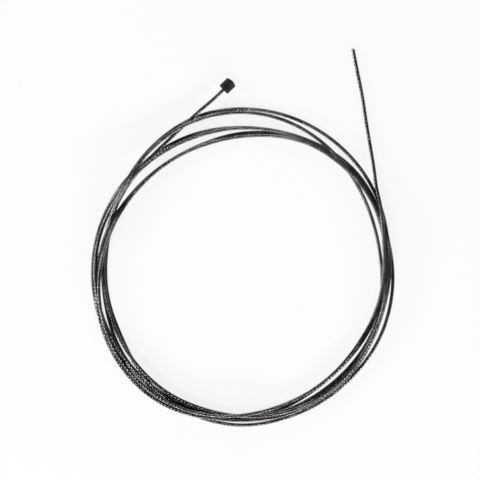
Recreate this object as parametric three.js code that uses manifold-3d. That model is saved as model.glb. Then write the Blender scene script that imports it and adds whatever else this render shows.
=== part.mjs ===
// A bicycle shift cable, as it lies loosely coiled on a flat surface.
// One strand of steel wire runs from a barrel-shaped cast head, round the coil several times,
// and out to a bare end. Units are millimetres, +Z is up and the surface is at Z = 0.
// Before the last line moves it, the model's origin is the middle of the coil on the surface.
import * as THREE from 'three';
import { mergeVertices } from 'three/addons/utils/BufferGeometryUtils.js';
import Module from 'manifold-3d';

// The strand
const cableDiameter = 1.2;
const cableRadius = cableDiameter / 2;
const tubeSides = 8;
const diametersPerStep = 2.5;

// The cast head, a barrel that lies on its side. Its length takes in the crown of its outer end.
const headDiameter = 4.0;
const headLength = 4.35;
const headCrown = 0.45;
const headRimRound = 0.4;
const headRimBulge = 0.25;
const strandPocketDepth = 0.9;
const strandPocketLead = 0.15;
const headSegments = 48;
const rimSegments = 5;
const crownSegments = 6;

// The coil: its turns gather to a thin band at the sides and the bottom, and spread at the top
const coilWidth = 103.6;
const coilLength = 109.2;
const coilFullness = 2.12;
const sideBand = 6.7;
const bottomBand = 6.8;
const topBand = 12.2;
const openingWidth = coilWidth - 2 * sideBand;
const openingLength = coilLength - topBand - bottomBand;
const openingShift = (bottomBand - topBand) / 2;
const coilLayers = 3;
const coilHeight = coilLayers * cableDiameter;
const coilSegments = 96;
const cornerSegments = 4;

// Where the head's strand side lies in plan, beyond the coil's top edge, and the way the head points
const headAside = -6.5;
const headBeyondCoil = 5.45;
const headPlace = [headAside, coilLength / 2 + headBeyondCoil];
const headHeading = THREE.MathUtils.degToRad(44);

// The gap that the strand keeps to the head and to the coil's solid
const seatClearance = 0.3;

// Heights of the strand's middle: on the surface, over one turn, and over two
const onSurface = cableRadius;
const overOneTurn = onSurface + cableDiameter;
const overTwoTurns = onSurface + 1.73 * cableDiameter;
const headAxisHeight = headDiameter / 2;

const wasm = await Module();
wasm.setup();

const headMaterial = new THREE.MeshStandardMaterial({ color: 0x2b2b2d, roughness: 0.6, metalness: 0.3 });
const cableMaterial = new THREE.MeshStandardMaterial({ color: 0x3c3c3e, roughness: 0.35, metalness: 0.9 });

function toSolid(geometry) {
  const bare = geometry.clone();
  bare.deleteAttribute('normal');
  bare.deleteAttribute('uv');
  const merged = mergeVertices(bare, 1e-4);
  return new wasm.Manifold(new wasm.Mesh({
    numProp: 3,
    vertProperties: new Float32Array(merged.attributes.position.array),
    triVerts: new Uint32Array(merged.index.array),
  }));
}

function toGeometry(solid) {
  const mesh = solid.getMesh();
  const geometry = new THREE.BufferGeometry();
  geometry.setAttribute('position', new THREE.BufferAttribute(mesh.vertProperties, 3));
  geometry.setIndex(new THREE.BufferAttribute(mesh.triVerts, 1));
  geometry.computeVertexNormals();
  return geometry;
}

function makeNode(name, geometry, material) {
  const mesh = new THREE.Mesh(geometry, material);
  mesh.name = name;
  return mesh;
}

// A turned barrel with rounded rims and a crowned outer end. Its axis is Y, its strand side is
// at Y = 0, and the strand's end sits in a pocket there with a short conical lead.
function makeHead() {
  const radius = headDiameter / 2;
  const pocketRadius = cableRadius + seatClearance;
  const outerRim = headLength - headCrown;
  const profile = [
    new THREE.Vector2(0, strandPocketDepth),
    new THREE.Vector2(pocketRadius, strandPocketDepth),
    new THREE.Vector2(pocketRadius, strandPocketLead),
    new THREE.Vector2(pocketRadius + strandPocketLead, 0),
  ];
  for (let i = 0; i <= rimSegments; i += 1) {
    const turn = (i / rimSegments) * (Math.PI / 2);
    profile.push(new THREE.Vector2(
      radius - headRimRound * (1 - Math.sin(turn)),
      headRimBulge * (1 - Math.cos(turn)),
    ));
  }
  for (let i = rimSegments; i >= 0; i -= 1) {
    const turn = (i / rimSegments) * (Math.PI / 2);
    profile.push(new THREE.Vector2(
      radius - headRimRound * (1 - Math.sin(turn)),
      outerRim - headRimBulge * (1 - Math.cos(turn)),
    ));
  }
  for (let i = 1; i < crownSegments; i += 1) {
    const share = 1 - i / crownSegments;
    profile.push(new THREE.Vector2(
      (radius - headRimRound) * share,
      outerRim + headCrown * (1 - share ** 2),
    ));
  }
  profile.push(new THREE.Vector2(0, headLength));
  const head = makeNode('barrel_head', new THREE.LatheGeometry(profile, headSegments), headMaterial);
  head.rotation.z = headHeading - Math.PI / 2;
  head.position.set(headPlace[0], headPlace[1], headAxisHeight);
  return head;
}

// The outer shape of the coil, grown by a clearance on every side: a ring is turned between
// radii 1 and 2, and each of its points then slides to its place between opening and outer wall.
function makeCoilGeometry(clearance) {
  const rounding = cableRadius;
  const profile = [];
  const corners = [
    { share: 1, level: 0, start: -Math.PI / 2 },
    { share: 1, level: 1, start: 0 },
    { share: 0, level: 1, start: Math.PI / 2 },
    { share: 0, level: 0, start: Math.PI },
  ];
  for (const corner of corners) {
    const inset = corner.share === 1 ? 1 - rounding / sideBand : rounding / sideBand;
    const middle = corner.level === 1 ? coilHeight - rounding : rounding;
    for (let i = 0; i <= cornerSegments; i += 1) {
      const turn = corner.start + (i / cornerSegments) * (Math.PI / 2);
      profile.push(new THREE.Vector2(
        1 + inset + (rounding / sideBand) * Math.cos(turn),
        middle + (rounding + clearance) * Math.sin(turn),
      ));
    }
  }
  profile.push(profile[0].clone());
  const geometry = new THREE.LatheGeometry(profile, coilSegments);
  geometry.rotateX(Math.PI / 2);
  const place = geometry.attributes.position;
  for (let i = 0; i < place.count; i += 1) {
    const angle = Math.atan2(place.getY(i), place.getX(i));
    const share = Math.hypot(place.getX(i), place.getY(i)) - 1;
    const inner = openingPoint(angle, clearance);
    const outer = outerPoint(angle, clearance);
    place.setX(i, THREE.MathUtils.lerp(inner.x, outer.x, share));
    place.setY(i, THREE.MathUtils.lerp(inner.y, outer.y, share));
  }
  return geometry;
}

function openingPoint(angle, clearance) {
  return new THREE.Vector2(
    (openingWidth / 2 - clearance) * Math.cos(angle),
    (openingLength / 2 - clearance) * Math.sin(angle) + openingShift,
  );
}

function outerPoint(angle, clearance) {
  const across = Math.abs(Math.cos(angle)) / (coilWidth / 2 + clearance);
  const along = Math.abs(Math.sin(angle)) / (coilLength / 2 + clearance);
  const radius = (across ** coilFullness + along ** coilFullness) ** (-1 / coilFullness);
  return new THREE.Vector2(radius * Math.cos(angle), radius * Math.sin(angle));
}

function makeCoil() {
  return makeNode('cable_coil', makeCoilGeometry(0), cableMaterial);
}

// A stretch of the strand along its route. Where the route runs into the coil, the tube is
// coped to the coil's wall, one clearance away from it.
function makeStretch(name, points) {
  const curve = new THREE.CatmullRomCurve3(points.map((point) => new THREE.Vector3(...point)));
  const section = new THREE.Shape();
  section.absarc(0, 0, cableRadius, 0, 2 * Math.PI);
  const tube = new THREE.ExtrudeGeometry(section, {
    curveSegments: tubeSides / 2,
    steps: Math.round(curve.getLength() / (diametersPerStep * cableDiameter)),
    bevelEnabled: false,
    extrudePath: curve,
  });
  const coped = toSolid(tube).subtract(toSolid(makeCoilGeometry(seatClearance)));
  return makeNode(name, toGeometry(coped), cableMaterial);
}

function fromHead(x, y, z) {
  return [headPlace[0] + x, headPlace[1] + y, z];
}

function fromCoilSide(x, y, z) {
  return [coilWidth / 2 + x, y, z];
}

// From the floor of the head's pocket, level at first, then down and over the outermost turn
function makeHeadTail() {
  const inPocket = strandPocketDepth - seatClearance;
  return makeStretch('cable_head_tail', [
    fromHead(inPocket * Math.cos(headHeading), inPocket * Math.sin(headHeading), headAxisHeight),
    fromHead(-2.7, -2.6, headAxisHeight - 0.1),
    fromHead(-6.5, -5.85, 1.7),
    fromHead(-9.7, -8.65, overOneTurn),
    fromHead(-12.3, -11.15, overOneTurn),
    fromHead(-15.1, -13.75, overOneTurn),
  ]);
}

// From inside the coil, over its outer turns, down to the surface and on to the bare tip
function makeFreeEnd() {
  return makeStretch('cable_free_end', [
    fromCoilSide(-4.6, 17.2, overTwoTurns),
    fromCoilSide(-5.2, 21.7, overTwoTurns),
    fromCoilSide(-6.2, 26.3, overTwoTurns),
    fromCoilSide(-6.9, 31.4, 2.3),
    fromCoilSide(-7.7, 37.0, 1.6),
    fromCoilSide(-8.7, 43.0, 1.05),
    fromCoilSide(-9.7, 49.0, 0.75),
    fromCoilSide(-10.9, 57.1, 0.645),
    fromCoilSide(-12.5, 65.3, 0.61),
    fromCoilSide(-14.3, 74.5, onSurface),
  ]);
}

const model = new THREE.Group();
model.add(makeHead(), makeHeadTail(), makeCoil(), makeFreeEnd());

// The origin moves to the middle of the whole object's box, on the surface
const box = new THREE.Box3().setFromObject(model, true);
model.position.set(-(box.min.x + box.max.x) / 2, -(box.min.y + box.max.y) / 2, -box.min.z);
model.updateMatrixWorld(true);

export default model;
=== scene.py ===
import math

import bpy
import numpy as np
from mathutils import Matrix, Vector


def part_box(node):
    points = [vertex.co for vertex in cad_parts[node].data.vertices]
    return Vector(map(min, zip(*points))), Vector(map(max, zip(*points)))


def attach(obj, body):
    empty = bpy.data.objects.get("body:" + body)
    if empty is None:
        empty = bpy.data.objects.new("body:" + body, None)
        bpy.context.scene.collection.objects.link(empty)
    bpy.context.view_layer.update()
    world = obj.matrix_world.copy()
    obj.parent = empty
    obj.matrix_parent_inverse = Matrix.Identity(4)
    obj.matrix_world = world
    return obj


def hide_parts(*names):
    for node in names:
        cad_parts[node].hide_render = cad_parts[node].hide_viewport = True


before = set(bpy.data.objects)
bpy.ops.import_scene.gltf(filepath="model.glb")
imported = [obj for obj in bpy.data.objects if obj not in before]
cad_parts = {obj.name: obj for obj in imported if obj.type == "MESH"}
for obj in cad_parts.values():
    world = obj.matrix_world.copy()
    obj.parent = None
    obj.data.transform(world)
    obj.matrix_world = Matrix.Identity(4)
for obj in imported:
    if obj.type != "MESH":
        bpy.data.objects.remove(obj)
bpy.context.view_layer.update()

MM = 0.001

# The strand: the outer layer of wires, laid right-handed over the inner ones and then drawn
# through a die, which flattens their crowns. Its mesh is a row of rings.
CABLE_DIAMETER = 1.2 * MM
WIRE_DIAMETER = 0.27 * MM
WIRE_RING = 0.49 * MM
CROWN_HALF_WIDTH = math.radians(6)
OUTER_WIRES = 12
LAY_LENGTH = 15.0 * MM
RING_COUNT = 2040

# The fused tip, where the wires are melted into one rounded end with a very small flat
FUSED_LENGTH = 1.3 * MM
TIP_ROUNDING = 0.5 * MM
TIP_FLAT_SHARE = 0.02
TIP_RINGS = 12
TIP_RING_GAP = 0.3 * MM

# The cast head, a barrel on its side with a crowned outer end
HEAD_DIAMETER = 4.0 * MM
HEAD_LENGTH = 4.35 * MM
HEAD_CROWN = 0.45 * MM
HEAD_RIM_ROUND = 0.4 * MM
HEAD_RIM_BULGE = 0.25 * MM
HEAD_HEADING = math.radians(44)
HEAD_AXIS = Vector((math.cos(HEAD_HEADING), math.sin(HEAD_HEADING), 0))

# The pocket that the strand's end sits in, with a rounded lip. The end keeps clear of its floor.
POCKET_DEPTH = 0.9 * MM
POCKET_SPARE = 0.02 * MM
SEAT_CLEARANCE = 0.3 * MM
LIP_WIDTH = 0.15 * MM
LIP_DEPTH = 0.2 * MM
LIP_START = 0.25 * MM

# How finely the head is turned
HEAD_SEGMENTS = 96
LIP_STEPS = 4
RIM_STEPS = 8
BODY_STEPS = 14
CROWN_STEPS = 10

# The coil's middle, from which the route is measured
coil_low, coil_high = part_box("cable_coil")
COIL_MIDDLE = Vector(((coil_low[0] + coil_high[0]) / 2, (coil_low[1] + coil_high[1]) / 2, 0))

# Where the strand side of the head lies, from the coil's middle
HEAD_PLACE = Vector((-0.0065, 0.06005, HEAD_DIAMETER / 2))

# The route from the head to the coil, and from the coil to the tip, from the coil's middle
HEAD_TAIL = [
    (-0.0092, 0.05745, 0.0019),
    (-0.0130, 0.0542, 0.0017),
    (-0.0162, 0.0514, 0.0018),
    (-0.0188, 0.0489, 0.0018),
    (-0.0216, 0.0463, 0.0018),
]
FREE_END = [
    (0.0472, 0.0172, 0.002676),
    (0.0466, 0.0217, 0.002676),
    (0.0456, 0.0263, 0.002676),
    (0.0449, 0.0314, 0.0023),
    (0.0441, 0.0370, 0.0016),
    (0.0431, 0.0430, 0.00105),
    (0.0421, 0.0490, 0.00075),
    (0.0409, 0.0571, 0.000645),
    (0.0393, 0.0653, 0.00061),
    (0.0375, 0.0745, 0.0006),
]

# How far out each turn of the coil lies, in millimetres, at every 15 degrees from the top on,
# chosen after the bands and gaps that were measured in the photograph. Angles are in
# degrees from +X, anticlockwise. The first turn starts where the head's stretch ends, and the
# last ends where the free end starts.
FULL_TURN = 360
TOP = 90
TURN_STEP = 15
FIRST_TURN_STARTS = 120
TURN_RADII = [
    [49.85, 48.05, 47.6, 47.6, 47.6, 48.3, 49.85, 51.0, 51.4, 51.3,
     50.95, 50.1, 48.55, 47.85, 48.1, 48.6, 49.5, 50.6, 51.65, 52.4, 53.0, 53.45],
    [53.65, 53.4, 51.9, 50.0, 48.0, 46.7, 46.55, 47.0, 47.6, 49.7, 51.7, 53.3,
     54.0, 53.6, 53.3, 52.9, 52.7, 52.0, 51.0, 50.1, 50.3, 49.95, 48.65, 47.6],
    [47.3, 47.7, 48.2, 48.7, 49.6, 50.4, 51.0, 51.5, 51.7, 51.3, 51.9, 51.8,
     51.8, 51.5, 51.0, 50.4, 50.0, 49.4, 49.3, 49.6, 49.6, 48.8, 47.8, 46.6],
    [45.35, 44.0, 43.5, 44.1, 45.4, 47.4, 49.3, 51.1, 52.7, 53.8, 53.95, 52.85,
     52.25, 52.5, 52.25, 51.85, 50.7, 49.95, 50.1, 50.2, 50.0, 49.35, 48.25, 47.45],
    [47.1, 46.9, 47.1, 47.65, 48.4, 49.4, 50.1, 50.4, 50.65, 50.85, 50.95, 50.95,
     51.0, 51.0, 50.4, 49.9, 49.55, 48.5, 47.3, 46.85, 47.5, 48.75, 50.4, 51.8],
    [52.45, 52.2, 51.2, 49.65, 48.2, 47.6, 47.25, 47.6, 48.35, 49.0, 49.8, 50.1,
     50.8, 51.5, 51.6, 51.2, 50.3, 49.6, 48.85, 48.95, 49.05, 48.15, 47.4, 45.8],
    [44.25, 43.4, 43.4, 43.8, 44.8, 46.2, 48.2, 50.1, 51.75, 52.55, 52.6, 51.8,
     50.4, 49.1, 48.3, 47.6, 47.35, 47.75, 48.05, 49.25],
]

# A later turn lies over an earlier one, apart from these: (turn on top, turn below, from, to)
EARLIER_ON_TOP = [
    (0, 1, 95, 119),
    (0, 2, 117, 145),
    (1, 4, 200, 262),
    (1, 2, 200, 262),
    (3, 5, 150, 195),
]

# How the turns settle on each other: the sag of a stretch that lies free between two humps,
# the settling's steps, and the length over which the strand's stiffness evens out its heights.
# The mean that evens them out reaches three such lengths each way.
SAG_CURVATURE = 0.0153 / MM
SETTLE_STEPS = 1500
SETTLE_PACE = 0.25
EVENING_LENGTH = 2 * MM
EVENING_REACH = 3
ROUTE_SPACING = 0.25 * MM

# The strand's coat: two tones in patches along it, painted shade that darkens the grooves between
# the wires, fine grain
STRAND_DARK = (0.28, 0.27, 0.277)
STRAND_LIGHT = (0.46, 0.445, 0.454)
STRAND_ROUGHNESS = (0.22, 0.3)
GROOVE_SHADE_COLOR = (0.012, 0.011, 0.011)
GROOVE_SHADE_EDGE = 0.2
PATCH_SCALE = 120.0
PATCH_STOPS = (0.3, 0.7)
GRAIN_SCALE = 9000.0
GRAIN_BUMP = 0.15
GRAIN_DEPTH = 0.01 * MM

# The head's satin black coat over an uneven casting
HEAD_DARK = (0.005, 0.005, 0.0055)
HEAD_LIGHT = (0.034, 0.034, 0.041)
HEAD_ROUGHNESS = (0.5, 0.8)
HEAD_METALLIC = 0.2
HEAD_SPECULAR = 0.3
CASTING_SCALE = 800.0
CASTING_ROUGHNESS = 0.6
CASTING_STOPS = (0.45, 0.68)
CASTING_BUMP = 0.5
CASTING_DEPTH = 0.05 * MM

# The camera: straight above the middle of the photograph's frame, whose width is measured at
# the height of the strand's turns. Blender gives the sensor in millimetres.
CAMERA_SHIFT = Vector((-0.85, -1.0)) * MM
CAMERA_HEIGHT = 900 * MM
FRAME_WIDTH = 163.2 * MM
FRAME_LEVEL = 1.65 * MM
SENSOR_WIDTH = 36.0

# The white table: half its side, its grey, and how much of it shows as plain white
TABLE_REACH = 3.0
TABLE_GREY = 0.9
TABLE_ROUGHNESS = 0.9
TABLE_WHITE = 1.0
TABLE_WHITE_SHARE = 0.85

# The lamps are long strips, which give each wire a narrow glint: name, azimuth from +X and
# elevation in degrees, width and height in metres, radiance
LAMP_DISTANCE = 0.9
LAMPS = [
    ("strip_180", 180, 18, (0.72, 0.12), 18.0),
    ("strip_270", 270, 18, (0.72, 0.12), 18.0),
    ("strip_315", 315, 18, (0.72, 0.12), 18.0),
    ("high_strip", 225, 52, (0.5, 0.1), 18.0),
    ("back_strip", 100, 24, (0.6, 0.1), 15.0),
]

# The studio's own light: its level at the horizon and overhead, and where overhead starts
HORIZON_LIGHT = 0.25
OVERHEAD_LIGHT = 0.02
OVERHEAD_STARTS = 0.45


def smooth_curve(knots, values, at):
    """A natural cubic spline through given values."""
    gaps = np.diff(knots)
    count = len(knots)
    system = np.eye(count)
    right = np.zeros((count, values.shape[1]))
    slopes = np.diff(values, axis=0) / gaps[:, None]
    for i in range(1, count - 1):
        system[i, i - 1 : i + 2] = gaps[i - 1], 2 * (gaps[i - 1] + gaps[i]), gaps[i]
        right[i] = 6 * (slopes[i] - slopes[i - 1])
    bends = np.linalg.solve(system, right)
    place = np.clip(np.searchsorted(knots, at, side="right") - 1, 0, count - 2)
    gap = gaps[place]
    after = ((at - knots[place]) / gap)[:, None]
    before = 1 - after
    bend = (before**3 - before) * bends[place] + (after**3 - after) * bends[place + 1]
    return before * values[place] + after * values[place + 1] + bend * gap[:, None] ** 2 / 6


def even_out(values, width):
    """A weighted mean over neighbours, for values that are evenly spaced along the strand."""
    reach = int(EVENING_REACH * width)
    offsets = np.arange(-reach, reach + 1)
    weights = np.exp(-0.5 * (offsets / width) ** 2)
    padded = np.pad(values, reach, mode="edge")
    return np.convolve(padded, weights / weights.sum(), mode="valid")


def at_places(places, along, values):
    """Points or directions along the strand, taken at other places of it."""
    return np.column_stack([np.interp(places, along, values[:, k]) for k in range(3)])


def coil_points():
    """The coil's turns in plan, worked out from how far out each one lies."""
    points = []
    for turn, radii in enumerate(TURN_RADII):
        start = FIRST_TURN_STARTS if turn == 0 else TOP
        for i, radius in enumerate(radii):
            angle = math.radians(start + TURN_STEP * i)
            points.append((radius * MM * math.cos(angle), radius * MM * math.sin(angle)))
    return points


def plan_route():
    """The whole route in plan, finely spaced, and its given heights at both ends."""
    start = HEAD_PLACE + HEAD_AXIS * (POCKET_DEPTH - SEAT_CLEARANCE)
    tail = [tuple(start), *HEAD_TAIL]
    plan = np.array([p[:2] for p in tail] + coil_points() + [p[:2] for p in FREE_END])
    steps = np.linalg.norm(np.diff(plan, axis=0), axis=1)
    knots = np.concatenate([[0], np.cumsum(steps)])
    along = np.arange(0, knots[-1], ROUTE_SPACING)
    fine = smooth_curve(knots, plan, along)
    head_heights = (knots[: len(tail)], [p[2] for p in tail])
    end_heights = (knots[-len(FREE_END) :], [p[2] for p in FREE_END])
    return along, fine, head_heights, end_heights


def find_contacts(turned, radius, spacing):
    """Where two turns overlap in plan: the place of the upper one, the place of the lower one,
    and how much higher the upper one's middle lies."""
    count = len(turned)
    turn = ((turned - TOP) // FULL_TURN).astype(int)
    angle = (turned - TOP) % FULL_TURN + TOP
    contacts = []
    for apart in range(1, len(TURN_RADII) + 1):
        shift = FULL_TURN * apart
        if shift >= count:
            break
        first = np.arange(count - shift)
        second = first + shift
        slope = np.gradient(radius)[first] / spacing
        gap = np.abs(radius[second] - radius[first]) / np.sqrt(1 + slope**2)
        close = gap < CABLE_DIAMETER
        first, second, gap = first[close], second[close], gap[close]
        rise = np.sqrt(CABLE_DIAMETER**2 - gap**2)
        later_over = np.ones(len(first), bool)
        for top, below, start, end in EARLIER_ON_TOP:
            if below - top == apart:
                here = (turn[first] == top) & (angle[first] >= start) & (angle[first] <= end)
                later_over[here] = False
        upper = np.where(later_over, second, first)
        lower = np.where(later_over, first, second)
        contacts.append((upper, lower, rise))
    return contacts


def settle(turned, radius, bed):
    """Heights of the strand's middle at every degree of its way round: each turn rests on the
    table and on the turns below it, and sags between the humps."""
    spacing = np.radians(1.0) * radius.mean()
    drop = SAG_CURVATURE * spacing**2
    contacts = find_contacts(turned, radius, spacing)
    height = bed.copy()
    for _ in range(SETTLE_STEPS):
        middle = height[1:-1]
        bend = height[:-2] - 2 * middle + height[2:]
        height[1:-1] = middle + SETTLE_PACE * (bend - drop)
        height = np.maximum(height, bed)
        for upper, lower, rise in contacts:
            lift = np.maximum(height[lower] + rise - height[upper], 0)
            height[upper] += lift
    return height


def cable_route():
    """The centreline from inside the head to the tip, as evenly spaced points in the frame that
    the CAD has, and its length."""
    along, plan, head_heights, end_heights = plan_route()
    turned = np.degrees(np.unwrap(np.arctan2(plan[:, 1], plan[:, 0])))
    radius = np.hypot(plan[:, 0], plan[:, 1])
    degrees = np.arange(math.ceil(turned[0]), math.floor(turned[-1]) + 1.0)
    along_degrees = np.interp(degrees, turned, along)
    bed = np.full(len(degrees), CABLE_DIAMETER / 2)
    near_head = along_degrees <= head_heights[0][-1]
    bed[near_head] = np.interp(along_degrees[near_head], *head_heights)
    near_tip = along_degrees >= end_heights[0][0]
    bed[near_tip] = np.interp(along_degrees[near_tip], *end_heights)
    height = settle(degrees, np.interp(degrees, turned, radius), bed)
    height = np.interp(along, along_degrees, height)
    straight = along <= head_heights[0][1]
    height[straight] = np.interp(along[straight], *head_heights)
    height = even_out(height, EVENING_LENGTH / ROUTE_SPACING)
    route = np.column_stack([plan, height])
    steps = np.linalg.norm(np.diff(route, axis=0), axis=1)
    reached = np.concatenate([[0], np.cumsum(steps)])
    length = reached[-1]
    points = at_places(np.linspace(0, length, RING_COUNT), reached, route)
    return points + np.array(COIL_MIDDLE), length


def strand_profile():
    """Angle and radius of each point round the strand, and how deep it lies between two wires."""
    wire_radius = WIRE_DIAMETER / 2
    half_turn = math.pi / OUTER_WIRES
    angles, radii, depths = [], [], []
    for wire in range(OUTER_WIRES):
        for off in (-half_turn, -CROWN_HALF_WIDTH, 0.0, CROWN_HALF_WIDTH):
            across = WIRE_RING * math.sin(abs(off))
            radius = WIRE_RING * math.cos(off) + math.sqrt(wire_radius**2 - across**2)
            radii.append(min(radius, CABLE_DIAMETER / 2))
            angles.append(2 * half_turn * wire + off)
            depths.append(1.0 if off == -half_turn else 0.0)
    return np.array(angles), np.array(radii), np.array(depths)


def strand_rings(points, length):
    """How far along each ring of the mesh lies, its middle, and its ways up and sideways. At
    the tip the rings lie closer together."""
    tangents = np.gradient(points, axis=0)
    tangents /= np.linalg.norm(tangents, axis=1)[:, None]
    along = np.linspace(0, length, RING_COUNT)
    tip = length - TIP_ROUNDING * (1 - np.sin(np.linspace(0, math.pi / 2, TIP_RINGS)))
    before_tip = along < tip[0] - TIP_RING_GAP
    places = np.concatenate([along[before_tip], tip])
    middles = at_places(places, along, points)
    heading = at_places(places, along, tangents)
    heading /= np.linalg.norm(heading, axis=1)[:, None]
    up = np.array([0.0, 0.0, 1.0]) - heading * heading[:, 2:3]
    up /= np.linalg.norm(up, axis=1)[:, None]
    return places, middles, up, np.cross(heading, up)


def melt(left):
    """How far the wires have melted into one, and the share of its size that the rounding
    leaves to a ring, from the length that is left to the tip."""
    fused = np.clip((FUSED_LENGTH - left) / FUSED_LENGTH, 0, 1)
    fused = fused * fused * (3 - 2 * fused)
    rounding = np.clip(1 - left / TIP_ROUNDING, 0, 1)
    shrink = np.sqrt(np.maximum(1 - rounding**2, TIP_FLAT_SHARE**2))
    return fused[:, None], shrink[:, None]


def ring_faces(rings, around):
    """The faces between one ring and the next, and a cap on both ends."""
    ring = np.arange(rings - 1)[:, None] * around
    here = np.arange(around)[None, :]
    after = (here + 1) % around
    corners = [ring + after, ring + around + after, ring + around + here, ring + here]
    faces = np.stack(corners, axis=-1).reshape(-1, 4).tolist()
    faces.append(list(range(around))[::-1])
    faces.append(list(range((rings - 1) * around, rings * around)))
    return faces


def keep_values(mesh, name, values):
    """Gives each point of the mesh a value that its material reads."""
    attribute = mesh.attributes.new(name, "FLOAT", "POINT")
    attribute.data.foreach_set("value", values.ravel())


def mark_sharp(mesh, around, rings):
    """The lines where two wires meet are sharp, and so are the sides of the flattened crowns."""
    ends = np.empty(2 * len(mesh.edges), int)
    mesh.edges.foreach_get("vertices", ends)
    ends = ends.reshape(-1, 2)
    points_per_wire = around // OUTER_WIRES
    on_wire = (ends % around) % points_per_wire
    off_crown_middle = (on_wire != points_per_wire // 2).all(axis=1)
    lengthwise = np.abs(ends[:, 0] // around - ends[:, 1] // around) == 1
    before_tip = ends.max(axis=1) // around < rings - TIP_RINGS
    marks = mesh.attributes.new("sharp_edge", "BOOLEAN", "EDGE")
    marks.data.foreach_set("value", off_crown_middle & lengthwise & before_tip)


def strand_mesh(points, length):
    """The strand as one closed mesh whose lengthwise edges follow the wires round it."""
    along, middles, up, side = strand_rings(points, length)
    fused, shrink = melt(length - along)
    angles, radii, depths = strand_profile()
    ring_radii = (radii * (1 - fused) + radii.mean() * fused) * shrink
    turned = angles + 2 * math.pi * along[:, None] / LAY_LENGTH
    upwards = np.cos(turned)[:, :, None] * up[:, None, :]
    sideways = np.sin(turned)[:, :, None] * side[:, None, :]
    vertices = middles[:, None, :] + ring_radii[:, :, None] * (upwards + sideways)
    rings, around = len(along), len(angles)
    mesh = bpy.data.meshes.new("shift_strand")
    mesh.from_pydata(vertices.reshape(-1, 3).tolist(), [], ring_faces(rings, around))
    mesh.update()
    # How deep each point lies between two wires, which the material uses for its painted shade
    keep_values(mesh, "groove", depths * (1 - fused))
    keep_values(mesh, "run", np.repeat(along, around))
    mesh.shade_smooth()
    mark_sharp(mesh, around, rings)
    return mesh


def make_strand():
    """The strand from inside the head to the tip."""
    points, length = cable_route()
    mesh = strand_mesh(points, length)
    mesh.materials.append(strand_material())
    strand = bpy.data.objects.new("shift_strand", mesh)
    bpy.context.scene.collection.objects.link(strand)
    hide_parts("cable_head_tail", "cable_coil", "cable_free_end")
    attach(strand, "root")


def new_material(name):
    """A material with its nodes, its links and its shader."""
    material = bpy.data.materials.new(name)
    material.use_nodes = True
    nodes = material.node_tree.nodes
    return material, nodes, material.node_tree.links, nodes["Principled BSDF"]


def add_noise(nodes, links, scale, detail):
    """Noise that is fixed to the piece."""
    place = nodes.new("ShaderNodeTexCoord")
    noise = nodes.new("ShaderNodeTexNoise")
    noise.inputs["Scale"].default_value = scale
    noise.inputs["Detail"].default_value = detail
    links.new(place.outputs["Object"], noise.inputs["Vector"])
    return noise


def add_ramp(nodes, links, value, stops, colors):
    """The first colour up to the first stop of the value, the second from the second stop on."""
    ramp = nodes.new("ShaderNodeValToRGB")
    for element, stop, color in zip(ramp.color_ramp.elements, stops, colors):
        element.position = stop
        element.color = (*color, 1)
    links.new(value, ramp.inputs["Fac"])
    return ramp.outputs["Color"]


def add_surface(nodes, links, shader, noise, roughness, bump_strength, bump_depth):
    """Uneven roughness and small bumps, both from the same noise."""
    rough = nodes.new("ShaderNodeMapRange")
    rough.inputs["To Min"].default_value, rough.inputs["To Max"].default_value = roughness
    links.new(noise.outputs["Fac"], rough.inputs["Value"])
    links.new(rough.outputs["Result"], shader.inputs["Roughness"])
    bump = nodes.new("ShaderNodeBump")
    bump.inputs["Strength"].default_value = bump_strength
    bump.inputs["Distance"].default_value = bump_depth
    links.new(noise.outputs["Fac"], bump.inputs["Height"])
    links.new(bump.outputs["Normal"], shader.inputs["Normal"])


def add_math(nodes, links, operation, first, second):
    """A calculation with two values of other nodes, or with one and a plain number."""
    node = nodes.new("ShaderNodeMath")
    node.operation = operation
    links.new(first, node.inputs[0])
    if isinstance(second, float):
        node.inputs[1].default_value = second
    else:
        links.new(second, node.inputs[1])
    return node.outputs["Value"]


def strand_tone(nodes, links):
    """The coat's tone, which changes in patches along the strand."""
    run = nodes.new("ShaderNodeAttribute")
    run.attribute_name = "run"
    patches = nodes.new("ShaderNodeTexNoise")
    patches.noise_dimensions = "1D"
    patches.inputs["Scale"].default_value = PATCH_SCALE
    patches.inputs["Detail"].default_value = 3.0
    links.new(run.outputs["Fac"], patches.inputs["W"])
    return add_ramp(nodes, links, patches.outputs["Fac"], PATCH_STOPS, (STRAND_DARK, STRAND_LIGHT))


def strand_material():
    """Dark coated steel, with painted shade that turns it nearly black in the grooves between the
    wires.
    """
    material, nodes, links, shader = new_material("strand_wire")
    shader.inputs["Metallic"].default_value = 1.0
    # Painted shade: the colour turns nearly black towards the grooves between the wires
    groove = nodes.new("ShaderNodeAttribute")
    groove.attribute_name = "groove"
    depth = nodes.new("ShaderNodeMapRange")
    depth.inputs["From Max"].default_value = GROOVE_SHADE_EDGE
    links.new(groove.outputs["Fac"], depth.inputs["Value"])
    shade = nodes.new("ShaderNodeMix")
    shade.data_type = "RGBA"
    shade.inputs["B"].default_value = (*GROOVE_SHADE_COLOR, 1)
    links.new(depth.outputs["Result"], shade.inputs["Factor"])
    links.new(strand_tone(nodes, links), shade.inputs["A"])
    links.new(shade.outputs["Result"], shader.inputs["Base Color"])
    grain = add_noise(nodes, links, GRAIN_SCALE, 2.0)
    add_surface(nodes, links, shader, grain, STRAND_ROUGHNESS, GRAIN_BUMP, GRAIN_DEPTH)
    return material


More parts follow.
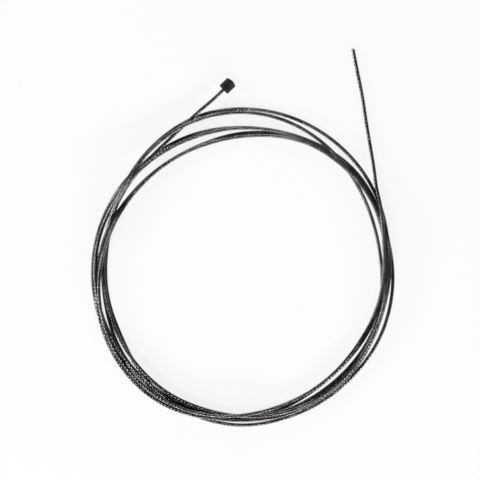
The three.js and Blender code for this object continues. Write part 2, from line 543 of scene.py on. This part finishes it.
def head_material():
    """A satin black coat with paler spots, on an uneven casting."""
    material, nodes, links, shader = new_material("head_casting")
    shader.inputs["Metallic"].default_value = HEAD_METALLIC
    shader.inputs["Specular IOR Level"].default_value = HEAD_SPECULAR
    cast = add_noise(nodes, links, CASTING_SCALE, 5.0)
    cast.inputs["Roughness"].default_value = CASTING_ROUGHNESS
    tone = add_ramp(nodes, links, cast.outputs["Fac"], CASTING_STOPS, (HEAD_DARK, HEAD_LIGHT))
    links.new(tone, shader.inputs["Base Color"])
    add_surface(nodes, links, shader, cast, HEAD_ROUGHNESS, CASTING_BUMP, CASTING_DEPTH)
    return material


def quarter_round(steps, width, depth):
    """A quarter of an oval, as pairs of numbers. The first falls from the given width to
    nothing, while the second rises from nothing to the given depth."""
    turns = [i / steps * math.pi / 2 for i in range(steps + 1)]
    return [(width * (1 - math.sin(turn)), depth * (1 - math.cos(turn))) for turn in turns]


def head_outline():
    """The barrel's outline from the pocket's floor round to the middle of the outer end, as
    pairs of radius and distance along the axis."""
    radius = HEAD_DIAMETER / 2
    face = radius - HEAD_RIM_ROUND
    hole = CABLE_DIAMETER / 2 + POCKET_SPARE
    outer_rim = HEAD_LENGTH - HEAD_CROWN
    side = outer_rim - 2 * HEAD_RIM_BULGE
    outline = [(0.0, POCKET_DEPTH), (hole, POCKET_DEPTH), (hole, LIP_START)]
    for along, out in quarter_round(LIP_STEPS, LIP_DEPTH, LIP_WIDTH):
        outline.append((hole + out, along))
    outline.append(((hole + LIP_WIDTH + face) / 2, 0.0))
    rim = quarter_round(RIM_STEPS, HEAD_RIM_ROUND, HEAD_RIM_BULGE)
    outline += [(radius - inset, along) for inset, along in rim]
    outline += [(radius, HEAD_RIM_BULGE + side * i / BODY_STEPS) for i in range(1, BODY_STEPS)]
    outline += [(radius - inset, outer_rim - along) for inset, along in reversed(rim)]
    for i in range(1, CROWN_STEPS):
        share = 1 - i / CROWN_STEPS
        outline.append((face * share, outer_rim + HEAD_CROWN * (1 - share**2)))
    outline.append((0.0, HEAD_LENGTH))
    return outline


def turn_round(outline, base, axis):
    """Points and faces of a round body that lies on its side."""
    across = Vector((-axis.y, axis.x, 0))
    up = Vector((0, 0, 1))
    vertices, rings = [], []
    for radius, along in outline:
        count = HEAD_SEGMENTS if radius > 0 else 1
        rings.append(range(len(vertices), len(vertices) + count))
        for k in range(count):
            turn = 2 * math.pi * k / HEAD_SEGMENTS
            out = across * math.cos(turn) + up * math.sin(turn)
            vertices.append(base + axis * along + out * radius)
    faces = []
    for low, high in zip(rings, rings[1:]):
        for k in range(HEAD_SEGMENTS):
            after = (k + 1) % HEAD_SEGMENTS
            if len(low) == 1:
                faces.append((low[0], high[after], high[k]))
            elif len(high) == 1:
                faces.append((low[k], low[after], high[0]))
            else:
                faces.append((low[k], low[after], high[after], high[k]))
    return vertices, faces


def make_head():
    """The barrel, turned from its outline."""
    vertices, faces = turn_round(head_outline(), COIL_MIDDLE + HEAD_PLACE, HEAD_AXIS)
    mesh = bpy.data.meshes.new("cast_head")
    mesh.from_pydata([tuple(v) for v in vertices], [], faces)
    mesh.update()
    mesh.shade_smooth()
    mesh.materials.append(head_material())
    head = bpy.data.objects.new("cast_head", mesh)
    bpy.context.scene.collection.objects.link(head)
    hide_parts("barrel_head")
    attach(head, "root")


def make_camera():
    scene = bpy.context.scene
    data = bpy.data.cameras.new("camera")
    data.sensor_width = SENSOR_WIDTH
    data.lens = SENSOR_WIDTH * (CAMERA_HEIGHT - FRAME_LEVEL) / FRAME_WIDTH
    camera = bpy.data.objects.new("camera", data)
    camera.location = (CAMERA_SHIFT.x, CAMERA_SHIFT.y, CAMERA_HEIGHT)
    scene.collection.objects.link(camera)
    scene.camera = camera


def floor_material():
    """White where a camera, glossy or transmission ray meets it, and a plain pale surface in
    other light. A small share of the surface is left in what the camera sees, for the shadow."""
    material, nodes, links, shader = new_material("table_white")
    shader.inputs["Base Color"].default_value = (TABLE_GREY, TABLE_GREY, TABLE_GREY, 1)
    shader.inputs["Roughness"].default_value = TABLE_ROUGHNESS
    shader.inputs["Specular IOR Level"].default_value = 0.0
    glow = nodes.new("ShaderNodeEmission")
    glow.inputs["Strength"].default_value = TABLE_WHITE
    rays = nodes.new("ShaderNodeLightPath").outputs
    seen = add_math(nodes, links, "MAXIMUM", rays["Is Camera Ray"], rays["Is Glossy Ray"])
    seen = add_math(nodes, links, "MAXIMUM", seen, rays["Is Transmission Ray"])
    mix = nodes.new("ShaderNodeMixShader")
    links.new(add_math(nodes, links, "MULTIPLY", seen, TABLE_WHITE_SHARE), mix.inputs["Fac"])
    links.new(shader.outputs["BSDF"], mix.inputs[1])
    links.new(glow.outputs["Emission"], mix.inputs[2])
    links.new(mix.outputs["Shader"], nodes["Material Output"].inputs["Surface"])
    return material


def make_floor():
    """The table, one flat square."""
    sides = [(-1, -1), (1, -1), (1, 1), (-1, 1)]
    corners = [(TABLE_REACH * x, TABLE_REACH * y, 0) for x, y in sides]
    mesh = bpy.data.meshes.new("table_top")
    mesh.from_pydata(corners, [], [(0, 1, 2, 3)])
    mesh.materials.append(floor_material())
    floor = bpy.data.objects.new("table_top", mesh)
    bpy.context.scene.collection.objects.link(floor)


def make_lamp(name, azimuth, elevation, size, radiance):
    """A soft strip lamp of the given radiance that faces the object."""
    data = bpy.data.lights.new(name, "AREA")
    data.shape = "RECTANGLE"
    data.size, data.size_y = size
    data.energy = radiance * math.pi * size[0] * size[1]
    lamp = bpy.data.objects.new(name, data)
    a, e = math.radians(azimuth), math.radians(elevation)
    way = Vector((math.cos(a) * math.cos(e), math.sin(a) * math.cos(e), math.sin(e)))
    lamp.location = way * LAMP_DISTANCE
    lamp.rotation_euler = way.to_track_quat("Z", "Y").to_euler()
    bpy.context.scene.collection.objects.link(lamp)


def make_world():
    """A dim studio: grey near the horizon and darker overhead."""
    world = bpy.data.worlds.new("studio")
    bpy.context.scene.world = world
    world.use_nodes = True
    nodes, links = world.node_tree.nodes, world.node_tree.links
    place = nodes.new("ShaderNodeTexCoord")
    parts = nodes.new("ShaderNodeSeparateXYZ")
    links.new(place.outputs["Generated"], parts.inputs["Vector"])
    greys = ((HORIZON_LIGHT,) * 3, (OVERHEAD_LIGHT,) * 3)
    sky = add_ramp(nodes, links, parts.outputs["Z"], (0.0, OVERHEAD_STARTS), greys)
    links.new(sky, nodes["Background"].inputs["Color"])


make_camera()
make_strand()
make_head()
make_floor()
for lamp in LAMPS:
    make_lamp(*lamp)
make_world()
bpy.context.scene.view_settings.view_transform = "Standard"
